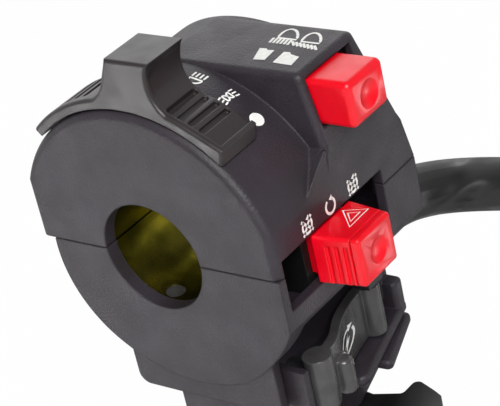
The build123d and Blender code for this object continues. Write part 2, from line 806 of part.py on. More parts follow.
dim_ball, dim_spring = detent(dim_detent_x, dim_rear_y, dim_z, (0, 1, 0))
for name, piece in (("dimmer_detent_ball", dim_ball), ("dimmer_detent_spring", dim_spring)):
    piece.label = name
    export_step(piece, f"parts/{name}.step")

with BuildPart() as dimmer_contact_board:
    add(span_box(dim_x, dim_x + dim_w + dim_side + dim_travel, dim_rear_y + move_gap,
                 dim_rear_y + move_gap + board_t, dim_shelf_z, box_roof_z - run_gap))
dimmer_contact_board.part.label = "dimmer_contact_board"
export_step(dimmer_contact_board.part, "parts/dimmer_contact_board.step")

# Stop carriage with its pocket, hazard knob, return spring, contact board and detent
kill_root_y = panel_y + wall + hazard_root
kill_front_y = panel_y + wall + move_gap
pocket_y = kill_root_y + hazard_push + 2 * move_gap
kill_rear_y = pocket_y + carriage_rear
kill_detent_z = kill_z + kill_knob_h / 2
carriage_h = kill_knob_h + 2 * carriage_cheek
pocket_half = kill_stem_w / 2 + pocket_gap
with BuildPart() as kill_carriage:
    add(span_box(kill_rest_x - pocket_half - carriage_side, kill_rest_x + pocket_half + carriage_side,
                 kill_front_y, kill_rear_y, kill_z - carriage_h / 2, kill_z + carriage_h / 2))
    pocket_h = kill_stem_h + 2 * pocket_gap
    add(span_box(kill_rest_x - pocket_half, kill_rest_x + pocket_half, kill_front_y, pocket_y,
                 kill_z - pocket_h / 2, kill_z + pocket_h / 2), mode=Mode.SUBTRACT)
    detent_bore(kill_rest_x, kill_rear_y, kill_detent_z, (0, 1, 0))
kill_carriage.part.label = "kill_carriage"
export_step(kill_carriage.part, "parts/kill_carriage.step")

kill_ball, kill_spring = detent(kill_rest_x, kill_rear_y, kill_detent_z, (0, 1, 0))
for name, piece in (("kill_detent_ball", kill_ball), ("kill_detent_spring", kill_spring)):
    piece.label = name
    export_step(piece, f"parts/{name}.step")

kill_out_y = panel_y - kill_knob_out
kill_base_y = panel_y - run_gap
with BuildPart() as hazard_knob:
    add(knob(kill_rest_x, kill_z, kill_knob_w, kill_end_w, kill_knob_h, kill_base_y, kill_out_y, kill_round,
             kill_dimple_r, kill_dimple_depth))
    add(span_box(kill_rest_x - kill_stem_w / 2, kill_rest_x + kill_stem_w / 2, kill_base_y, kill_root_y,
                 kill_z - kill_stem_h / 2, kill_z + kill_stem_h / 2))
    # Groove behind the end cap, then three ribs sunk in the outboard face
    ring_y = kill_out_y + kill_cap
    with BuildSketch(Plane.XZ.offset(-ring_y)):
        with Locations((kill_rest_x, kill_z)):
            Rectangle(kill_knob_w + cut_over, kill_knob_h + cut_over)
            Rectangle(kill_end_w - kill_groove_depth, kill_knob_h - 2 * kill_groove_depth,
                      mode=Mode.SUBTRACT)
    extrude(amount=-kill_groove, mode=Mode.SUBTRACT)
    side_slope = (kill_knob_w - kill_end_w) / (2 * (kill_base_y - kill_out_y))
    for count in range(3):
        rib_y = ring_y + kill_rib_pitch / 2 + count * kill_rib_pitch
        rib_x = kill_rest_x - kill_end_w / 2 - side_slope * (rib_y - kill_out_y)
        add(span_box(rib_x - cut_over, rib_x + kill_rib_depth, rib_y, rib_y + kill_rib_w,
                     kill_z - kill_knob_h, kill_z + kill_knob_h / 2 - kill_rib_pitch), mode=Mode.SUBTRACT)
hazard_knob.part.label = "hazard_knob"
export_step(hazard_knob.part, "parts/hazard_knob.step")

with BuildPart() as hazard_return_spring:
    with BuildSketch(Plane.XZ.offset(-pocket_y)):
        with Locations((kill_rest_x, kill_z)):
            Circle(peg_hole_r)
            Circle(peg_r, mode=Mode.SUBTRACT)
    extrude(amount=pocket_y - kill_root_y)
hazard_return_spring.part.label = "hazard_return_spring"
export_step(hazard_return_spring.part, "parts/hazard_return_spring.step")

with BuildPart() as kill_contact_board:
    add(span_box(front_wall + run_gap, kill_slot_x + kill_slot_len, kill_rear_y + move_gap,
                 kill_rear_y + move_gap + board_t, shelf_z, kill_z + carriage_h / 2))
kill_contact_board.part.label = "kill_contact_board"
export_step(kill_contact_board.part, "parts/kill_contact_board.step")

# Starter paddle: bump, ridge and plate in one moulding, with the peg to the contacts
paddle_x = paddle_pivot_x - paddle_len
face = [(paddle_x + x, paddle_pivot_y - y) for x, y in scaled(paddle_shares, paddle_len, paddle_reach)]
back = [(x, y + paddle_t) for x, y in face]
paddle_h = paddle_top_z - paddle_low_z
with BuildPart() as starter_paddle:
    with BuildSketch(Plane.XY.offset(paddle_low_z)):
        with BuildLine():
            Spline(*face)
            Line(face[-1], back[-1])
            Spline(*back[::-1])
            Line(back[0], face[0])
        make_face()
        with Locations((bump_x, bump_y)):
            Circle(bump_r)
        with Locations((paddle_pivot_x, paddle_pivot_y)):
            Circle(paddle_boss_r)
    extrude(amount=paddle_h)
    with BuildSketch(Plane.XY.offset(paddle_low_z)):
        with Locations((ridge_x, ridge_y)):
            Circle(ridge_r)
    extrude(amount=ridge_top_z - paddle_low_z)
    ridge_tip = starter_paddle.edges().filter_by(GeomType.CIRCLE).filter_by_position(
        Axis.Z, ridge_top_z - run_gap, ridge_top_z + run_gap)
    fillet(ridge_tip, ridge_round)
    with BuildSketch(Plane.XY.offset(paddle_low_z)):
        with Locations((paddle_pivot_x, paddle_pivot_y)):
            Circle(pin_r + run_gap)
    extrude(amount=paddle_h, mode=Mode.SUBTRACT)
    with BuildSketch(Plane.XZ.offset(-bump_y)):
        with Locations((bump_x, peg_z)):
            Circle(peg_r)
    extrude(amount=bump_y - peg_tip_y)
starter_paddle.part.label = "starter_paddle"
export_step(starter_paddle.part, "parts/starter_paddle.step")

with BuildPart() as starter_pivot_pin:
    with BuildSketch(Plane.XY.offset(recess_low_z - pin_seat)):
        with Locations((paddle_pivot_x, paddle_pivot_y)):
            Circle(pin_r)
    extrude(amount=lug_z + lug_t - recess_low_z)
starter_pivot_pin.part.label = "starter_pivot_pin"
export_step(starter_pivot_pin.part, "parts/starter_pivot_pin.step")

with BuildPart() as starter_return_spring:
    with BuildSketch(Plane.XZ.offset(-recess_y)):
        with Locations((bump_x, peg_z)):
            Circle(peg_hole_r + paddle_spring_wall)
            Circle(peg_hole_r, mode=Mode.SUBTRACT)
    extrude(amount=recess_y - bump_y - bump_r)
starter_return_spring.part.label = "starter_return_spring"
export_step(starter_return_spring.part, "parts/starter_return_spring.step")

with BuildPart() as starter_contact_block:
    add(span_box(bump_x - contact_w / 2, bump_x + contact_w / 2, room_y, room_y + contact_depth,
                 room_low_z, room_low_z + contact_h))
    with BuildSketch(Plane.XZ.offset(-room_y)):
        with Locations((bump_x, peg_z)):
            Circle(peg_hole_r)
    extrude(amount=-contact_pocket, mode=Mode.SUBTRACT)
starter_contact_block.part.label = "starter_contact_block"
export_step(starter_contact_block.part, "parts/starter_contact_block.step")

# Choke lever, its washer and pivot screw
lever_plan = [(choke_x + x, choke_y + y) for x, y in scaled(choke_shares, choke_reach, choke_reach)]
choke_top_z = choke_low_z - washer_t - choke_gap
with BuildPart() as choke_lever:
    with BuildSketch(Plane.XY.offset(choke_top_z - choke_t)):
        with BuildLine():
            Polyline(*lever_plan, close=True)
        make_face()
        with Locations((choke_x, choke_y)):
            Circle(choke_hub_r)
    extrude(amount=choke_t)
    tab = choke_lever.edges().filter_by(Axis.Z).filter_by(
        lambda edge: edge.center().Y < choke_y - choke_reach / 2)
    fillet(tab, choke_round)
    with BuildSketch(Plane.XY.offset(choke_top_z)):
        with Locations((choke_x, choke_y)):
            Circle(choke_screw_r + run_gap)
    extrude(amount=-choke_t, mode=Mode.SUBTRACT)
choke_lever.part.label = "choke_lever"
export_step(choke_lever.part, "parts/choke_lever.step")

with BuildPart() as choke_washer:
    with BuildSketch(Plane.XY.offset(choke_low_z)):
        with Locations((choke_x, choke_y)):
            Circle(washer_r)
            Circle(choke_screw_r + run_gap, mode=Mode.SUBTRACT)
    extrude(amount=-washer_t)
choke_washer.part.label = "choke_washer"
export_step(choke_washer.part, "parts/choke_washer.step")

choke_head_z = choke_top_z - choke_t - choke_gap
with BuildPart() as choke_pivot_screw:
    with BuildSketch(Plane.XY.offset(choke_head_z)):
        with Locations((choke_x, choke_y)):
            Circle(choke_screw_r)
    extrude(amount=choke_low_z + choke_screw_len - choke_head_z - move_gap)
    with BuildSketch(Plane.XY.offset(choke_head_z)):
        with Locations((choke_x, choke_y)):
            Circle(choke_screw_head_r)
    extrude(amount=-choke_screw_head_h)
    with BuildSketch(Plane.XY.offset(choke_head_z - choke_screw_head_h)):
        with Locations((choke_x, choke_y)):
            Rectangle(2 * choke_screw_head_r, choke_driver)
    extrude(amount=choke_driver, mode=Mode.SUBTRACT)
choke_pivot_screw.part.label = "choke_pivot_screw"
export_step(choke_pivot_screw.part, "parts/choke_pivot_screw.step")

# Loom grommet, stub of the sleeve inside, clamp and its screw
with BuildPart() as loom_grommet:
    for x_from, x_to, radius in (
        (body_len - end_wall - grommet_in, body_len, grommet_neck_r),
        (body_len, body_len + grommet_out, grommet_flange_r),
    ):
        with BuildSketch(Plane.YZ.offset(x_from)):
            with Locations((loom_y, loom_z)):
                Circle(radius)
        extrude(amount=x_to - x_from)
    with BuildSketch(Plane.YZ.offset(body_len - end_wall - grommet_in)):
        with Locations((loom_y, loom_z)):
            Circle(loom_r + run_gap)
    extrude(amount=body_len, mode=Mode.SUBTRACT)
loom_grommet.part.label = "loom_grommet"
export_step(loom_grommet.part, "parts/loom_grommet.step")

with BuildPart() as loom_stub:
    with BuildSketch(Plane.YZ.offset(stub_x + move_gap)):
        with Locations((loom_y, loom_z)):
            Circle(loom_r)
    extrude(amount=body_len + grommet_out - stub_x - move_gap)
loom_stub.part.label = "loom_stub"
export_step(loom_stub.part, "parts/loom_stub.step")

with BuildPart() as loom_clamp:
    add(span_box(cradle_x, cradle_x + cradle_w, clamp_low_y, clamp_ear_y, loom_z, clamp_ear_z))
    add(span_box(cradle_x, cradle_x + cradle_w, clamp_low_y, loom_y + loom_r + run_gap, loom_z, clamp_top_z))
    with BuildSketch(Plane.YZ.offset(cradle_x)):
        with Locations((loom_y, loom_z)):
            Circle(loom_r + run_gap)
    extrude(amount=cradle_w, mode=Mode.SUBTRACT)
    with BuildSketch(Plane.XY.offset(loom_z)):
        with Locations((cradle_x + cradle_w / 2, clamp_screw_y)):
            Circle(clamp_screw_r + run_gap)
    extrude(amount=clamp_ear_z - loom_z, mode=Mode.SUBTRACT)
loom_clamp.part.label = "loom_clamp"
export_step(loom_clamp.part, "parts/loom_clamp.step")

with BuildPart() as loom_clamp_screw:
    with BuildSketch(Plane.XY.offset(clamp_ear_z)):
        with Locations((cradle_x + cradle_w / 2, clamp_screw_y)):
            Circle(clamp_screw_head_r)
    extrude(amount=clamp_screw_head_h)
    with BuildSketch(Plane.XY.offset(clamp_ear_z)):
        with Locations((cradle_x + cradle_w / 2, clamp_screw_y)):
            Circle(clamp_screw_r)
    extrude(amount=-clamp_screw_depth)
loom_clamp_screw.part.label = "loom_clamp_screw"
export_step(loom_clamp_screw.part, "parts/loom_clamp_screw.step")


# Loom outside the housing
def corner_radius(before, corner, after):
    # Largest arc that the two runs beside a corner allow
    in_run = Vector(*corner) - Vector(*before)
    out_run = Vector(*after) - Vector(*corner)
    half_turn = radians(in_run.get_angle(out_run)) / 2
    return 0.45 * min(in_run.length, out_run.length) / tan(half_turn)


lead_radii = [corner_radius(*lead_points[i - 1:i + 2]) for i in range(1, len(lead_points) - 1)]
print("lead radii", [round(radius, 1) for radius in lead_radii])
with BuildPart() as loom_lead:
    with BuildLine() as lead_path:
        FilletPolyline(*lead_points, radius=lead_radii)
    lead_wire = lead_path.wire()
    with BuildSketch(Plane(origin=lead_wire @ 0, z_dir=lead_wire % 0)):
        Circle(loom_r)
    sweep(path=lead_wire)
loom_lead.part.label = "loom_lead"
export_step(loom_lead.part, "parts/loom_lead.step")
print("lead length", round(lead_wire.length, 1), "volume share",
      round(loom_lead.part.volume / (lead_wire.length * pi * loom_r ** 2), 4))

# The coil lies in the upright plane of the lead's last run: quarter turns that draw in by one step each
last_run = Vector(*lead_points[-1]) - Vector(*lead_points[-2])
level = Vector(last_run.X, last_run.Y, 0).normalized()
coil_plane = Plane(origin=lead_points[-1], x_dir=level, z_dir=level.cross(Vector(0, 0, 1)))
run_in = (hypot(last_run.X, last_run.Y) / last_run.length, last_run.Z / last_run.length)
coil_radii = [coil_r - count * coil_step for count in range(4)]
with BuildPart() as loom_coil:
    with BuildLine(coil_plane) as coil_path:
        turn = Line((0, 0), (loom_d * run_in[0], loom_d * run_in[1]))
        tie_at = turn @ 1
        tie_dir = turn % 1
        for radius in coil_radii:
            turn = JernArc(start=turn @ 1, tangent=turn % 1, radius=radius, arc_size=-90)
        turn = JernArc(start=turn @ 1, tangent=turn % 1, radius=coil_end_r, arc_size=-coil_end_turn)
        PolarLine(start=turn @ 1, length=loom_d, direction=turn % 1)
    coil_wire = coil_path.wire()
    with BuildSketch(Plane(origin=coil_wire @ 0, z_dir=coil_wire % 0)):
        Circle(loom_r)
    sweep(path=coil_wire)
loom_coil.part.label = "loom_coil"
export_step(loom_coil.part, "parts/loom_coil.step")
coil_len = coil_wire.length
coil_points = [coil_wire @ (count / 150) for count in range(151)]
far_apart = int(150 * pi * coil_end_r / coil_len)
coil_gap = min((coil_points[i] - coil_points[j]).length
               for i in range(151) for j in range(i + far_apart, 151)) - loom_d
print("coil length", round(coil_len, 1), "least gap to itself", round(coil_gap, 2), "volume share",
      round(loom_coil.part.volume / (coil_len * pi * loom_r ** 2), 4))

# Tie round the coil's outer and inner turn, where they run side by side
turn_pitch = len(coil_radii) * coil_step
with BuildPart() as loom_tie:
    with BuildSketch(Plane(origin=tie_at, x_dir=coil_plane.z_dir, z_dir=tie_dir).offset(-tie_w / 2)):
        with Locations((0, turn_pitch / 2)):
            SlotCenterToCenter(turn_pitch, loom_d + 2 * (tie_gap + tie_t), rotation=90)
            SlotCenterToCenter(turn_pitch, loom_d + 2 * tie_gap, rotation=90, mode=Mode.SUBTRACT)
    extrude(amount=tie_w)
loom_tie.part.label = "loom_tie"
export_step(loom_tie.part, "parts/loom_tie.step")

# Connector at the sleeve's end, with its terminals in an open pocket
plug_plane = Plane(origin=coil_wire @ 1, x_dir=coil_plane.z_dir, z_dir=coil_wire % 1)
with BuildPart() as loom_connector:
    with BuildSketch(plug_plane):
        Circle(loom_r)
    with BuildSketch(plug_plane.offset(plug_neck)):
        RectangleRounded(plug_w, plug_h, plug_round)
    loft()
    with BuildSketch(plug_plane.offset(plug_neck)):
        RectangleRounded(plug_w, plug_h, plug_round)
    extrude(amount=plug_len)
    with BuildSketch(plug_plane.offset(plug_neck + plug_len - plug_pocket)):
        RectangleRounded(plug_w - 2 * plug_wall, plug_h - 2 * plug_wall, plug_round)
    extrude(amount=plug_pocket, mode=Mode.SUBTRACT)
loom_connector.part.label = "loom_connector"
export_step(loom_connector.part, "parts/loom_connector.step")

with BuildPart() as loom_terminals:
    with BuildSketch(plug_plane.offset(plug_neck + plug_len - plug_pocket)):
        with GridLocations(terminal_pitch, terminal_pitch, 3, 2):
            Rectangle(terminal_w, terminal_t)
    extrude(amount=terminal_len)
loom_terminals.part.label = "loom_terminals"
export_step(loom_terminals.part, "parts/loom_terminals.step")
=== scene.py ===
import bpy
import bmesh
from math import cos, radians, sin, tan
from mathutils import Matrix, Vector
from mathutils.bvhtree import BVHTree


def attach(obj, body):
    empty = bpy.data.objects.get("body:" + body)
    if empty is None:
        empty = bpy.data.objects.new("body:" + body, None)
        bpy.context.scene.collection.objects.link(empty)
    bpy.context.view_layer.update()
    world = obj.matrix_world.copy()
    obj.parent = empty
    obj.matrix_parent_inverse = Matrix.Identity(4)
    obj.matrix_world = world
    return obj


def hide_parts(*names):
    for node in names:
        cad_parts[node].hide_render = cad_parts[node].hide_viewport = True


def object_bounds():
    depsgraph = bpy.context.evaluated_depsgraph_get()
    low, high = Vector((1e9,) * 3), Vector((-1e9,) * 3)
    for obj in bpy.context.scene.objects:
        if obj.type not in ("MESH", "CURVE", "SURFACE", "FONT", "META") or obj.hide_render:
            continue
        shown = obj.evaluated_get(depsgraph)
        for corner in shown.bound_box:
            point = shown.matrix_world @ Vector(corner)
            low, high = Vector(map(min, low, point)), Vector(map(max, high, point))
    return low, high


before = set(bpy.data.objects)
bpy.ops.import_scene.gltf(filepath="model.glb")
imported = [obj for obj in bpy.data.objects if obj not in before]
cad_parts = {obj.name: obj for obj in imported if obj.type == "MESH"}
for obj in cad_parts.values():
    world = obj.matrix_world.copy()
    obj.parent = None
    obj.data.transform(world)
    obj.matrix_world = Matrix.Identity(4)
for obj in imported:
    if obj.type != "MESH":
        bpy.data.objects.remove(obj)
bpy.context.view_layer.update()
scene = bpy.context.scene
mm = 0.001
print("frame loaded")


# Small tools

def linear(hexColour):
    # sRGB hex to the linear colour that a socket takes
    parts = [int(hexColour[i:i + 2], 16) / 255 for i in (1, 3, 5)]
    return [*(p / 12.92 if p <= 0.04045 else ((p + 0.055) / 1.055) ** 2.4 for p in parts), 1.0]


def addNode(tree, kind, inputs=None, **settings):
    # one node with its settings, its socket values and its links
    node = tree.nodes.new(kind)
    for key, value in settings.items():
        setattr(node, key, value)
    for key, value in (inputs or {}).items():
        if isinstance(value, bpy.types.NodeSocket):
            tree.links.new(value, node.inputs[key])
        else:
            node.inputs[key].default_value = value
    return node


def perMm(size):
    # texture scale whose feature is this many millimetres
    return 1.0 / (size * mm)


def mapped(tree, value, ends, results):
    # a value between two ends becomes one between two results
    return addNode(tree, "ShaderNodeMapRange", {"Value": value, "From Min": ends[0], "From Max": ends[1],
                                                 "To Min": results[0], "To Max": results[1]}).outputs[0]


def combined(tree, operation, first, second):
    return addNode(tree, "ShaderNodeMath", {0: first, 1: second}, operation=operation).outputs[0]


def showPiece(name, mesh, material, body, *nodes):
    # a finished mesh becomes a piece on its body, in place of the CAD nodes named
    piece = bpy.data.objects.new(name, mesh)
    scene.collection.objects.link(piece)
    mesh.materials.clear()
    mesh.materials.append(material)
    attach(piece, body)
    if nodes:
        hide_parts(*nodes)
    return piece


# Camera, at the photograph's place

camera = {
    "place": (-0.22426, -0.22643, 0.18152),
    "right": (0.56686, -0.79946, -0.19883),
    "down": (-0.50143, -0.14334, -0.85324),
    "forward": (0.65364, 0.58336, -0.48213),
    "lens": 144.0,
    "sensor": 36.0,
    "nearest": 0.01,
}
cameraData = bpy.data.cameras.new("camera")
cameraData.lens = camera["lens"]
cameraData.sensor_width = camera["sensor"]
cameraData.clip_start = camera["nearest"]
cameraObject = bpy.data.objects.new("camera", cameraData)
scene.collection.objects.link(cameraObject)
axes = Matrix((camera["right"], [-v for v in camera["down"]], [-v for v in camera["forward"]])).transposed()
cameraObject.matrix_world = Matrix.Translation(camera["place"]) @ axes.to_4x4()
scene.camera = cameraObject
print("camera set")


# Materials

def startMaterial(name, hexColour, roughness, metallic=0.0, ior=1.5):
    material = bpy.data.materials.new(name)
    material.use_nodes = True
    tree = material.node_tree
    shader = tree.nodes["Principled BSDF"]
    shader.inputs["Base Color"].default_value = linear(hexColour)
    shader.inputs["Roughness"].default_value = roughness
    shader.inputs["Metallic"].default_value = metallic
    shader.inputs["IOR"].default_value = ior
    place = addNode(tree, "ShaderNodeTexCoord").outputs["Object"]
    return material, tree, shader, place


texture = {
    "patchEdges": (0.35, 0.68),  # where the dark patches end and the light ones begin
    "patchDetail": 3.0,
    "wearSpread": (0.3, 0.7),
    "wearDetail": 4.0,
    "metalWear": (0.85, 1.2),  # least and most roughness of a metal, as parts of its own
    "grainDetail": 2.0,
    "edgeSamples": 6,
}


def varyColour(tree, shader, place, size, dark, light, detail=texture["patchDetail"]):
    # soft patches of this many millimetres between two colours
    patch = addNode(tree, "ShaderNodeTexNoise", {"Vector": place, "Scale": perMm(size), "Detail": detail})
    ramp = addNode(tree, "ShaderNodeValToRGB", {"Fac": patch.outputs["Fac"]})
    for element, position, colour in zip(ramp.color_ramp.elements, texture["patchEdges"], (dark, light)):
        element.position = position
        element.color = linear(colour)
    tree.links.new(ramp.outputs["Color"], shader.inputs["Base Color"])


def varyRoughness(tree, shader, place, size, low, high):
    # rubbed and clean places of this many millimetres
    patch = addNode(tree, "ShaderNodeTexNoise", {"Vector": place, "Scale": perMm(size),
                                                  "Detail": texture["wearDetail"]})
    tree.links.new(mapped(tree, patch.outputs["Fac"], texture["wearSpread"], (low, high)),
                   shader.inputs["Roughness"])


def grain(tree, shader, place, size, height, strength, edge=0.15):
    # surface relief over edges that catch the light as if rounded; all sizes in millimetres
    rounded = addNode(tree, "ShaderNodeBevel", {"Radius": edge * mm}, samples=texture["edgeSamples"])
    relief = addNode(tree, "ShaderNodeTexNoise", {"Vector": place, "Scale": perMm(size),
                                                   "Detail": texture["grainDetail"]})
    bump = addNode(tree, "ShaderNodeBump", {"Height": relief.outputs["Fac"], "Distance": height * mm,
                                             "Strength": strength, "Normal": rounded.outputs["Normal"]})
    tree.links.new(bump.outputs["Normal"], shader.inputs["Normal"])


def housingAbs():
    # ABS, injection moulded in a spark-eroded mould: a fine even grain that keeps the gloss broad and dull.
    # The grain is drawn a little coarser than the real one, so that it shows.
    material, tree, shader, place = startMaterial("housing_moulded_abs", "#2d282f", roughness=0.5, ior=1.45)
    varyColour(tree, shader, place, size=9, dark="#292429", light="#312c34")
    varyRoughness(tree, shader, place, size=6, low=0.44, high=0.54)
    grain(tree, shader, place, size=0.45, height=0.16, strength=0.75, edge=0.6)
    return material


def leverAbs():
    # ABS from a polished mould: smooth, with a faint orange-peel and brighter edges
    material, tree, shader, place = startMaterial("lever_polished_abs", "#2c2728", roughness=0.38, ior=1.5)
    varyRoughness(tree, shader, place, size=4, low=0.34, high=0.44)
    grain(tree, shader, place, size=2.4, height=0.05, strength=0.3, edge=0.35)
    return material


def paddleNylon():
    # glass-filled nylon: dark grey with a wet gloss and faint flow marks
    material, tree, shader, place = startMaterial("paddle_filled_nylon", "#434243", roughness=0.22, ior=1.55)
    varyColour(tree, shader, place, size=5, dark="#3c3b3c", light="#4a494a")
    grain(tree, shader, place, size=0.8, height=0.04, strength=0.3, edge=0.5)
    return material


def buttonAbs():
    # red ABS from a polished mould: saturated, with a broad pale sheen on the sides that face the light
    material, tree, shader, place = startMaterial("button_red_abs", "#ee001c", roughness=0.33, ior=1.5)
    varyColour(tree, shader, place, size=5, dark="#e80018", light="#f40220")
    varyRoughness(tree, shader, place, size=2, low=0.28, high=0.38)
    grain(tree, shader, place, size=0.4, height=0.02, strength=0.3, edge=0.35)
    return material


zincLines = {"stretch": (0.06, 1.0, 1.0), "size": 0.7, "height": 0.03, "strength": 0.35}


def linerZinc():
    # pressed steel, zinc with yellow chromate: olive gold that shifts in patches, drawing lines along it
    material, tree, shader, place = startMaterial("liner_yellow_zinc", "#9a9552", roughness=0.24,
                                                  metallic=1.0)
    varyColour(tree, shader, place, size=7, dark="#717040", light="#b4ac5e", detail=5.0)
    drawn = addNode(tree, "ShaderNodeMapping", {"Vector": place, "Scale": zincLines["stretch"]})
    lines = addNode(tree, "ShaderNodeTexNoise", {"Vector": drawn.outputs["Vector"],
                                                  "Scale": perMm(zincLines["size"])})
    bump = addNode(tree, "ShaderNodeBump", {"Height": lines.outputs["Fac"],
                                             "Distance": zincLines["height"] * mm,
                                             "Strength": zincLines["strength"]})
    tree.links.new(bump.outputs["Normal"], shader.inputs["Normal"])
    return material


def plainMetal(name, hexColour, roughness, grit):
    # turned or plated steel: even, with a faint grit
    material, tree, shader, place = startMaterial(name, hexColour, roughness, metallic=1.0)
    low, high = (roughness * part for part in texture["metalWear"])
    varyRoughness(tree, shader, place, size=2, low=low, high=high)
    grain(tree, shader, place, size=grit, height=0.02, strength=0.3)
    return material


def plainPlastic(name, dark, light, roughness, grit):
    # moulded engineering plastic or laminate: nearly even, with a fine grain
    material, tree, shader, place = startMaterial(name, dark, roughness, ior=1.5)
    varyColour(tree, shader, place, size=4, dark=dark, light=light)
    grain(tree, shader, place, size=grit, height=0.03, strength=0.4)
    return material


def padInk():
    # pad-printed ink: off-white, matt, a little thin in places
    material, tree, shader, place = startMaterial("pad_print_white", "#fafaf6", roughness=0.6)
    varyColour(tree, shader, place, size=0.9, dark="#eeeeea", light="#fdfdfa")
    return material


sleeveCreases = {"turn": (0.0, 0.62, -0.55), "stretch": (0.25, 1.0, 1.0), "size": 7, "detail": 0.5,
                 "twist": 0.3, "height": 4, "strength": 1.0}


def loomPvc():
    # plasticised PVC sleeving, drawn over the wires: black, half gloss, with long creases that wind round it
    material, tree, shader, place = startMaterial("loom_soft_pvc", "#0d0d0e", roughness=0.4, ior=1.53)
    varyRoughness(tree, shader, place, size=9, low=0.34, high=0.5)
    along = addNode(tree, "ShaderNodeMapping", {"Vector": place, "Rotation": sleeveCreases["turn"],
                                                 "Scale": sleeveCreases["stretch"]})
    crease = addNode(tree, "ShaderNodeTexNoise", {"Vector": along.outputs["Vector"],
                                                   "Scale": perMm(sleeveCreases["size"]),
                                                   "Detail": sleeveCreases["detail"],
                                                   "Distortion": sleeveCreases["twist"]})
    bump = addNode(tree, "ShaderNodeBump", {"Height": crease.outputs["Fac"],
                                             "Distance": sleeveCreases["height"] * mm,
                                             "Strength": sleeveCreases["strength"]})
    tree.links.new(bump.outputs["Normal"], shader.inputs["Normal"])
    return material


housingPlastic, leverPlastic = housingAbs(), leverAbs()
paddlePlastic, buttonPlastic = paddleNylon(), buttonAbs()
yellowZinc, whiteInk, sleevePvc = linerZinc(), padInk(), loomPvc()
platedSteel = plainMetal("plated_steel", "#b9b8b2", roughness=0.32, grit=0.3)
pegZinc = plainMetal("peg_cast_zinc", "#77777a", roughness=0.5, grit=0.4)
springWire = plainMetal("spring_steel_wire", "#77787a", roughness=0.35, grit=0.2)
ballSteel = plainMetal("polished_ball_steel", "#c4c4c6", roughness=0.12, grit=0.5)
tinnedBrass = plainMetal("tinned_brass", "#c7a857", roughness=0.3, grit=0.3)
acetal = plainPlastic("natural_acetal", "#d8d5cb", "#e2dfd6", roughness=0.38, grit=0.5)
laminate = plainPlastic("phenolic_laminate", "#5a3413", "#6d431c", roughness=0.5, grit=0.3)
blackNylon = plainPlastic("black_nylon", "#080809", "#0c0c0d", roughness=0.5, grit=0.4)
plugNylon = plainPlastic("natural_nylon", "#d9d5c6", "#e6e2d4", roughness=0.42, grit=0.6)
grommetRubber = plainPlastic("grommet_rubber", "#101011", "#171718", roughness=0.62, grit=0.5)
chokeEnamel = plainPlastic("lever_black_enamel", "#131314", "#1a1a1b", roughness=0.3, grit=0.8)
print("materials made")

finishes = {
    "upper_shell": housingPlastic, "lower_shell": housingPlastic, "bar_liner_upper": yellowZinc,
    "bar_liner_lower": yellowZinc, "bar_locating_peg": pegZinc, "shell_screws": platedSteel,
    "light_lever": leverPlastic, "light_detent_ball": ballSteel, "light_detent_spring": springWire,
    "light_contact_plate": laminate, "dimmer_knob": buttonPlastic, "dimmer_carriage": blackNylon,
    "dimmer_detent_ball": ballSteel, "dimmer_detent_spring": springWire, "dimmer_contact_board": laminate,
    "kill_carriage": blackNylon, "kill_detent_ball": ballSteel, "kill_detent_spring": springWire,
    "hazard_knob": buttonPlastic, "hazard_return_spring": springWire, "kill_contact_board": blackNylon,
    "starter_paddle": paddlePlastic, "starter_pivot_pin": platedSteel,
    "starter_return_spring": springWire, "starter_contact_block": laminate, "choke_lever": chokeEnamel,
    "choke_washer": platedSteel, "choke_pivot_screw": platedSteel,
    "loom_grommet": grommetRubber, "loom_stub": sleevePvc, "loom_clamp": acetal,
    "loom_clamp_screw": platedSteel, "loom_lead": sleevePvc, "loom_coil": sleevePvc,
    "loom_tie": blackNylon, "loom_connector": plugNylon, "loom_terminals": tinnedBrass,
}
for name, material in finishes.items():
    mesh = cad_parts[name].data
    mesh.materials.clear()
    mesh.materials.append(material)


# Rows of like bars, grown by one node tree: printed beams and the ribs that a thumb grips

def barTree():
    tree = bpy.data.node_groups.new("rowOfBars", "GeometryNodeTree")
    tree.interface.new_socket("Geometry", in_out="OUTPUT", socket_type="NodeSocketGeometry")
    for label, kind in (("Bars", "NodeSocketInt"), ("First", "NodeSocketVector"),
                        ("Step", "NodeSocketVector"), ("Size", "NodeSocketVector"),
                        ("Turn", "NodeSocketVector"), ("Finish", "NodeSocketMaterial")):
        tree.interface.new_socket(label, in_out="INPUT", socket_type=kind)
    given = addNode(tree, "NodeGroupInput").outputs
    places = addNode(tree, "GeometryNodeMeshLine", {"Count": given["Bars"], "Start Location": given["First"],
                                                     "Offset": given["Step"]}, mode="OFFSET")
    bar = addNode(tree, "GeometryNodeMeshCube", {"Size": given["Size"]})
    row = addNode(tree, "GeometryNodeInstanceOnPoints", {"Points": places.outputs["Mesh"],
                                                          "Instance": bar.outputs["Mesh"],
                                                          "Rotation": given["Turn"]})
    solid = addNode(tree, "GeometryNodeRealizeInstances", {"Geometry": row.outputs["Instances"]})
    finish = addNode(tree, "GeometryNodeSetMaterial", {"Geometry": solid.outputs["Geometry"],
                                                        "Material": given["Finish"]})
    addNode(tree, "NodeGroupOutput", {"Geometry": finish.outputs["Geometry"]})
    return tree


barsTree = barTree()


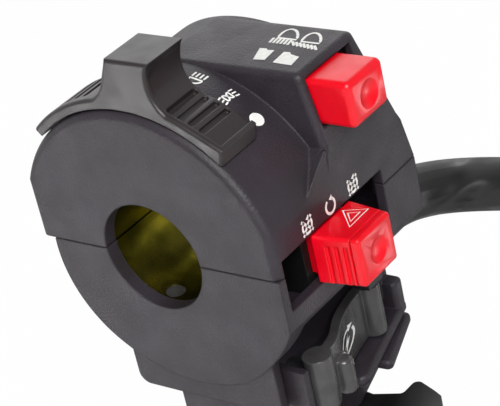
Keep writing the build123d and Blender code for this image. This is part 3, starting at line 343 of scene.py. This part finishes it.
def growBars(rows, material):
    # each row is (bars, first, step, size, turn) in millimetres and degrees; returns one plain mesh
    grown = bmesh.new()
    for bars, first, step, size, turn in rows:
        seed = bpy.data.objects.new("barSeed", bpy.data.meshes.new("barSeed"))
        scene.collection.objects.link(seed)
        grower = seed.modifiers.new("bars", "NODES")
        grower.node_group = barsTree
        wanted = {"Bars": bars, "First": [v * mm for v in first], "Step": [v * mm for v in step],
                  "Size": [v * mm for v in size], "Turn": [radians(v) for v in turn], "Finish": material}
        for socket in barsTree.interface.items_tree:
            if socket.name in wanted:
                grower[socket.identifier] = wanted[socket.name]
        evaluated = seed.evaluated_get(bpy.context.evaluated_depsgraph_get())
        made = bpy.data.meshes.new_from_object(evaluated)
        grown.from_mesh(made)
        bpy.data.objects.remove(seed)
    mesh = bpy.data.meshes.new("bars")
    grown.to_mesh(mesh)
    grown.free()
    return mesh


# Loom: one sleeve from the grommet through its coil to the connector

loom = {
    "points": [(48.5, -8.0, -22.6), (61.0, -8.0, -22.6), (74.0, -10.6, -26.0), (90.0, -18.5, -33.0),
               (110.0, -30.5, -44.0), (130.5, -43.5, -57.5), (151.0, -57.5, -70.0)],
    "width": 11.6,
    "coilRadius": 64.0,
    "quarters": 4,
    "tighter": 3.25,  # how much less the radius of each further quarter turn is
    "endRadius": 36.0,
    "endTurn": 110.0,
    "stepsPerQuarter": 4,
    "stepsAlong": 8,
    "stepsRound": 7,
    "length": 0.5903,  # in metres
}
route = [Vector(point) for point in loom["points"]]
lastRun = route[-1] - route[-2]
level = Vector((lastRun.x, lastRun.y, 0)).normalized()
side = level.cross(Vector((0, 0, 1)))
heading = lastRun.normalized()
corner = route[-1] + heading * loom["width"]
turns = [(loom["coilRadius"] - count * loom["tighter"], 90.0, loom["stepsPerQuarter"])
         for count in range(loom["quarters"])]
turns.append((loom["endRadius"], loom["endTurn"], loom["stepsPerQuarter"] + 1))
for radius, angle, steps in turns:
    step = radians(angle) / steps
    for count in range(steps):
        corner = corner + heading * radius * tan(step / 2)
        route.append(corner.copy())
        heading = Matrix.Rotation(-step, 3, side) @ heading
        corner = corner + heading * radius * tan(step / 2)
route.append(corner + heading * loom["width"])
loomCurve = bpy.data.curves.new("loomSleeve", "CURVE")
loomCurve.dimensions = "3D"
loomSpline = loomCurve.splines.new("NURBS")
loomSpline.points.add(len(route) - 1)
for point, place in zip(loomSpline.points, route):
    point.co = (*(place * mm), 1.0)
loomSpline.order_u = 3
loomSpline.use_endpoint_u = True
loomSpline.resolution_u = loom["stepsAlong"]
loomCurve.bevel_depth = loom["width"] / 2 * mm
loomCurve.bevel_resolution = loom["stepsRound"]
loomCurve.use_fill_caps = True
loomCurve.materials.append(sleevePvc)
loomSleeve = bpy.data.objects.new("loomSleeve", loomCurve)
scene.collection.objects.link(loomSleeve)
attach(loomSleeve, "housing")
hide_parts("loom_lead", "loom_coil")

# Thumb ribs on both broad faces of the connector
plugRibs = {"bars": 4, "size": (11.0, 1.0, 0.9), "pitch": 2.2, "from": 9.0, "face": 6.0}
plugAxes = Matrix((side, heading, heading.cross(side))).transposed()
rows = [(plugRibs["bars"], (0, plugRibs["from"], way * plugRibs["face"]), (0, plugRibs["pitch"], 0),
         plugRibs["size"], (0, 0, 0)) for way in (-1, 1)]
ribMesh = growBars(rows, plugNylon)
ribMesh.transform(Matrix.Translation(route[-1] * mm) @ plugAxes.to_4x4())
connectorRibs = showPiece("connectorRibs", ribMesh, plugNylon, "housing")
print("loom laid, end at", [round(v, 1) for v in route[-1]])


# Smooth copies of the moulded pieces, whose CAD meshes are loose triangles

moulded = {
    "upper_shell": ("upperShell", "housing", "housing"),
    "lower_shell": ("lowerShell", "housing", "housing"),
    "light_lever": ("lightLever", "light_lever", "lever"),
    "dimmer_knob": ("dimmerKnob", "dimmer", "button_red"),
    "hazard_knob": ("hazardKnob", "hazard_knob", "button_red"),
    "starter_paddle": ("starterPaddle", "starter_paddle", "paddle"),
    "choke_lever": ("chokeLever", "choke_lever", "choke_black"),
}
smoothing = {"weld": 0.002, "crease": 28.0}


def smoothCopy(nodeName, pieceName, body, slotName):
    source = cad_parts[nodeName]
    mesh = source.data.copy()
    mesh.transform(source.matrix_world)
    work = bmesh.new()
    work.from_mesh(mesh)
    bmesh.ops.remove_doubles(work, verts=work.verts, dist=smoothing["weld"] * mm)
    for face in work.faces:
        face.smooth = True
    for edge in work.edges:
        edge.smooth = edge.calc_face_angle(0.0) < radians(smoothing["crease"])
    work.to_mesh(mesh)
    work.free()
    piece = showPiece(pieceName, mesh, finishes[nodeName], body, nodeName)


for nodeName, values in moulded.items():
    smoothCopy(nodeName, *values)
    print("smoothed", nodeName)


# Pad-printed signs, draped on the surfaces that carry them

def ribbon(points, width, closed=False):
    # quads along a line, in millimetres
    ring = points + points[:1] if closed else points
    sides = []
    for i, point in enumerate(ring):
        before = ring[i - 1] if i else (ring[-2] if closed else ring[0])
        after = ring[i + 1] if i + 1 < len(ring) else (ring[1] if closed else ring[-1])
        run = (Vector(after) - Vector(before)).normalized()
        out = Vector((-run.y, run.x)) * width / 2
        sides.append((Vector(point) - out, Vector(point) + out))
    return [[a[0], b[0], b[1], a[1]] for a, b in zip(sides, sides[1:])]


def arc(centre, radius, start, end, steps=20):
    return [(centre[0] + radius * cos(radians(start + (end - start) * i / steps)),
             centre[1] + radius * sin(radians(start + (end - start) * i / steps))) for i in range(steps + 1)]


def disc(centre, radius, steps=20):
    rim = arc(centre, radius, 0, 360, steps)
    return [[Vector(centre), Vector(rim[i]), Vector(rim[i + 1])] for i in range(steps)]


loopSign = {"from": 120, "to": 420, "steps": 22, "tip": ((0.1, 0.75), (-0.85, 0.1), (0.25, -0.55)),
            "crossReach": 1.08}


def runLoop(x, y, size, line):
    # open ring with an arrowhead
    ring = ribbon(arc((x, y), size, loopSign["from"], loopSign["to"], loopSign["steps"]), line)
    end = radians(loopSign["to"])
    tip = Vector((x, y)) + Vector((cos(end), sin(end))) * size
    return ring + [[tip + Vector(corner) for corner in loopSign["tip"]]]


def stopLoop(x, y, size, line):
    # the same ring, crossed out
    reach = size * loopSign["crossReach"]
    sign = runLoop(x, y, size, line)
    for way in (1, -1):
        sign += ribbon([(x - reach, y - way * reach), (x + reach, y + way * reach)], line)
    return sign


lampSign = {"bulge": 1.05, "steps": 12, "beamReach": 1.1}


def lamp(x, y, size, line, toward=1):
    # headlamp bowl: a D on its side
    bowl = [(x + (px - x) * toward * lampSign["bulge"], py)
            for px, py in arc((x, y), size, 90, 270, lampSign["steps"])]
    return ribbon(bowl, line, closed=True)


def beams(x, y, size, line, count, toward=1, slant=0.0):
    rows = []
    for i in range(count):
        height = y + size * (1 - 2 * i / (count - 1))
        rows += ribbon([(x, height), (x + toward * size * lampSign["beamReach"], height - slant)], line)
    return rows


printing = {"lift": 0.05, "from": 8.0, "deepest": 12.0, "weld": 0.0005}


def drape(name, shapes, origin, across, up, nodeName, body):
    # lays flat shapes on a CAD surface along the direction that looks at it; none falls into an opening
    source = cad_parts[nodeName]
    mesh = source.data
    surface = BVHTree.FromPolygons([source.matrix_world @ v.co for v in mesh.vertices],
                                   [tuple(p.vertices) for p in mesh.polygons])
    across = Vector(across).normalized()
    up = Vector(up).normalized()
    outward = across.cross(up).normalized()
    work = bmesh.new()
    for shape in shapes:
        corners = []
        for corner in shape:
            place = (Vector(origin) + across * corner[0] + up * corner[1]) * mm
            start = place + outward * printing["from"] * mm
            hit = surface.ray_cast(start, -outward, printing["deepest"] * mm)[0]
            if hit is None:
                corners = []
                break
            corners.append(work.verts.new(hit + outward * printing["lift"] * mm))
        if corners:
            work.faces.new(corners)
    bmesh.ops.remove_doubles(work, verts=work.verts, dist=printing["weld"] * mm)
    made = bpy.data.meshes.new(name)
    work.to_mesh(made)
    work.free()
    showPiece(name, made, whiteInk, body)


panelSigns = {"size": 1.42, "line": 0.55, "places": ((10.8, 5.4), (18.3, 5.15), (25.8, 5.25)),
              "panelY": -28.6}
shapes = []
for sign, spot in zip((stopLoop, runLoop, stopLoop), panelSigns["places"]):
    shapes += sign(*spot, panelSigns["size"], panelSigns["line"])
drape("stopSlideSigns", shapes, (0, panelSigns["panelY"], 0), (1, 0, 0), (0, 0, 1), "upper_shell", "housing")

boxSigns = {
    "line": 0.55,
    "topZ": 30.5,
    "bowls": ((31.9, -15.7, 2.05, 3.6), (31.5, -21.1, 2.0, 3.6)),  # foot, middle, half width and height
    "bowlSteps": 14,
    "lean": 1.2,
    "marks": ([(23.3, -14.0), (27.5, -12.6), (27.6, -14.1), (27.2, -14.5), (27.3, -16.0), (23.6, -16.4)],
              [(23.1, -18.5), (27.2, -18.2), (27.3, -19.5), (26.6, -20.2), (26.1, -22.3), (22.9, -22.7)]),
    "beamRows": ((6, (30.8, -13.0, 30.54), (-0.02, -0.8, 0.0), (1.8, 0.52, 0.04), (0, 0, 8)),
                 (7, (30.5, -18.0, 30.54), (-0.1, -0.88, 0.0), (1.9, 0.52, 0.04), (0, 0, 42))),
}
shapes = []
for foot, middle, half, tall in boxSigns["bowls"]:
    rim = [(foot + tall * px, middle + half * py + boxSigns["lean"] * px)
           for px, py in arc((0, 0), 1.0, -90, 90, boxSigns["bowlSteps"])]
    shapes += ribbon(rim, boxSigns["line"], closed=True)
shapes += [[Vector(corner) for corner in mark] for mark in boxSigns["marks"]]
drape("dimmerSigns", shapes, (0, 0, boxSigns["topZ"]), (1, 0, 0), (0, 1, 0), "upper_shell", "housing")
showPiece("dimmerBeams", growBars(boxSigns["beamRows"], whiteInk), whiteInk, "housing")

hazardSign = {"line": 0.36, "topZ": 3.0, "triangles": ([(20.4, -29.5), (22.3, -33.8), (15.9, -33.9)],
                                                       [(19.9, -30.9), (20.9, -32.9), (17.6, -33.0)])}
shapes = []
for triangle in hazardSign["triangles"]:
    shapes += ribbon(triangle, hazardSign["line"], closed=True)
drape("hazardSign", shapes, (0, 0, hazardSign["topZ"]), (1, 0, 0), (0, 1, 0), "hazard_knob", "hazard_knob")

starterSign = {"place": (23.0, -29.6), "size": 3.0, "line": 0.66, "stretch": (1.5, 0.7), "faceY": -24,
               "ringFrom": 60, "ringTo": 390, "steps": 28,
               "tip": ((1.2, 3.9), (1.2, 1.9), (2.9, 2.7)),
               "bolt": ((0.9, 2.0), (-1.4, -0.4), (0.1, -0.4)),
               "boltFoot": ((-0.9, -2.0), (1.4, 0.4), (-0.1, 0.4))}
middle = Vector(starterSign["place"])
ring = arc((0, 0), starterSign["size"], starterSign["ringFrom"], starterSign["ringTo"], starterSign["steps"])
shapes = ribbon(ring, starterSign["line"])
shapes += [[Vector(corner) for corner in starterSign[part]] for part in ("tip", "bolt", "boltFoot")]
shapes = [[middle + corner * Vector(starterSign["stretch"]) for corner in shape] for shape in shapes]
drape("starterSign", shapes, (0, starterSign["faceY"], 0), (1, 0, 0), (0, 0, 1),
      "starter_paddle", "starter_paddle")

bodySigns = {
    "x": 15.4,
    "radius": 30.0,
    "angles": {"off": 51.0, "parking": 64.0, "headlamp": 78.2},
    "offDisc": ((-0.3, 0), 1.45),
    "parking": {"lamp": 0.85, "size": 0.8, "line": 0.38, "beamFrom": 1.2, "beamSize": 0.85, "beamLine": 0.34,
                "beams": 3, "slant": 0.2},
    "headlamp": {"lamp": 0.6, "size": 1.4, "line": 0.48, "beamFrom": 1.1, "beamSize": 1.3, "beamLine": 0.4,
                 "beams": 4},
}


def drapeOnBody(name, shapes, sign):
    # at the sign's dial angle of the round body
    angle = radians(bodySigns["angles"][sign])
    origin = (bodySigns["x"], -bodySigns["radius"] * cos(angle), bodySigns["radius"] * sin(angle))
    drape(name, shapes, origin, (1, 0, 0), (0, sin(angle), cos(angle)), "upper_shell", "housing")


drapeOnBody("lightsOffSign", disc(*bodySigns["offDisc"]), "off")
values = bodySigns["parking"]
shapes = []
for way in (-1, 1):
    shapes += lamp(way * values["lamp"], 0, values["size"], values["line"], way)
for way in (1, -1):
    shapes += beams(way * values["beamFrom"], 0, values["beamSize"], values["beamLine"], values["beams"],
                    way, values["slant"])
drapeOnBody("parkingSign", shapes, "parking")
values = bodySigns["headlamp"]
shapes = lamp(values["lamp"], 0, values["size"], values["line"])
shapes += beams(values["beamFrom"], 0, values["beamSize"], values["beamLine"], values["beams"])
drapeOnBody("headlampSign", shapes, "headlamp")
print("signs printed")


# Floor, world and lamps

studio = {
    "floorDrop": 0.002,
    "floorSize": 6.0,
    "paper": "#dedede",
    "paperRoughness": 0.9,
    "floorGlow": 0.94,
    "glowStrength": 1.03,
    "leftward": (-0.746, 0.666, 0.0),
    "mirrorEdge": (-0.2, 0.3),
    "mirroredFloor": (0.06, 0.9),  # glow that gloss sees, on the rider's side and on the left
    "worldLight": 0.05,
    "behind": (0.746, 0.666, 0.0),
    "backdropEdge": (-0.3, 0.6),
    "backdrop": (0.3, 1.0),
    "ceilingEdge": (0.5, 0.8),
    "ceiling": (1.0, 0.3),  # white all round, dark above
    "aim": (0.02, 0, 0),
    "lamps": (
        ("keySoftbox", (-0.47, -0.50, 0.60), 0.5, 10.5),
        ("backSoftbox", (0.61, 0.52, 0.46), 0.7, 1.7),
        ("leftLowSoftbox", (-0.34, 0.24, -0.27), 0.25, 3.4),
        ("riderLowSoftbox", (0.30, -0.27, -0.20), 0.12, 0.26),
        ("paddleSoftbox", (-0.08, -0.42, -0.25), 0.16, 0.4),
    ),
}


def mirrorRays(tree, seen):
    # one for the rays that gloss and clear pieces send out, nought for the rest
    return combined(tree, "MAXIMUM", seen["Is Glossy Ray"], seen["Is Transmission Ray"])


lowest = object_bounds()[0]
floorMesh = bpy.data.meshes.new("floor")
half = studio["floorSize"] / 2
floorZ = lowest[2] - studio["floorDrop"]
corners = [(-half, -half, floorZ), (half, -half, floorZ), (half, half, floorZ), (-half, half, floorZ)]
floorMesh.from_pydata(corners, [], [(0, 1, 2, 3)])
floor = bpy.data.objects.new("floor", floorMesh)
scene.collection.objects.link(floor)
floorPaper = bpy.data.materials.new("white_backdrop_paper")
floorPaper.use_nodes = True
tree = floorPaper.node_tree
output = tree.nodes["Material Output"]
paper = tree.nodes["Principled BSDF"]
paper.inputs["Base Color"].default_value = linear(studio["paper"])
paper.inputs["Roughness"].default_value = studio["paperRoughness"]
glow = addNode(tree, "ShaderNodeEmission", {"Color": (1.0, 1.0, 1.0, 1.0),
                                             "Strength": studio["glowStrength"]})
seen = addNode(tree, "ShaderNodeLightPath").outputs
spot = addNode(tree, "ShaderNodeTexCoord").outputs["Object"]
leftward = addNode(tree, "ShaderNodeVectorMath", {0: spot, 1: studio["leftward"]}, operation="DOT_PRODUCT")
mirrored = mapped(tree, leftward.outputs["Value"], studio["mirrorEdge"], studio["mirroredFloor"])
mirrored = combined(tree, "MULTIPLY", mirrorRays(tree, seen), mirrored)
share = combined(tree, "MULTIPLY", seen["Is Camera Ray"], studio["floorGlow"])
share = combined(tree, "MAXIMUM", share, mirrored)
mixed = addNode(tree, "ShaderNodeMixShader", {0: share, 1: paper.outputs[0], 2: glow.outputs[0]})
tree.links.new(mixed.outputs[0], output.inputs["Surface"])
floorMesh.materials.append(floorPaper)

world = bpy.data.worlds.new("studio")
scene.world = world
world.use_nodes = True
tree = world.node_tree
background = tree.nodes["Background"]
background.inputs["Color"].default_value = (1.0, 1.0, 1.0, 1.0)
seen = addNode(tree, "ShaderNodeLightPath").outputs
toward = addNode(tree, "ShaderNodeTexCoord").outputs["Generated"]
behind = addNode(tree, "ShaderNodeVectorMath", {0: toward, 1: studio["behind"]}, operation="DOT_PRODUCT")
backdrop = mapped(tree, behind.outputs["Value"], studio["backdropEdge"], studio["backdrop"])
height = addNode(tree, "ShaderNodeSeparateXYZ", {"Vector": toward}).outputs["Z"]
ceiling = mapped(tree, height, studio["ceilingEdge"], studio["ceiling"])
room = combined(tree, "MULTIPLY", backdrop, ceiling)
mirrored = combined(tree, "MULTIPLY", mirrorRays(tree, seen), room)
bright = combined(tree, "MAXIMUM", mirrored, seen["Is Camera Ray"])
bright = combined(tree, "MAXIMUM", bright, studio["worldLight"])
tree.links.new(bright, background.inputs["Strength"])

for name, place, size, power in studio["lamps"]:
    lampData = bpy.data.lights.new(name, "AREA")
    lampData.shape = "SQUARE"
    lampData.size = size
    lampData.energy = power
    lampObject = bpy.data.objects.new(name, lampData)
    scene.collection.objects.link(lampObject)
    facing = (Vector(studio["aim"]) - Vector(place)).to_track_quat("-Z", "Y")
    lampObject.matrix_world = Matrix.Translation(place) @ facing.to_matrix().to_4x4()
    lampObject.visible_camera = False
scene.view_settings.view_transform = "Standard"
print("studio lit")
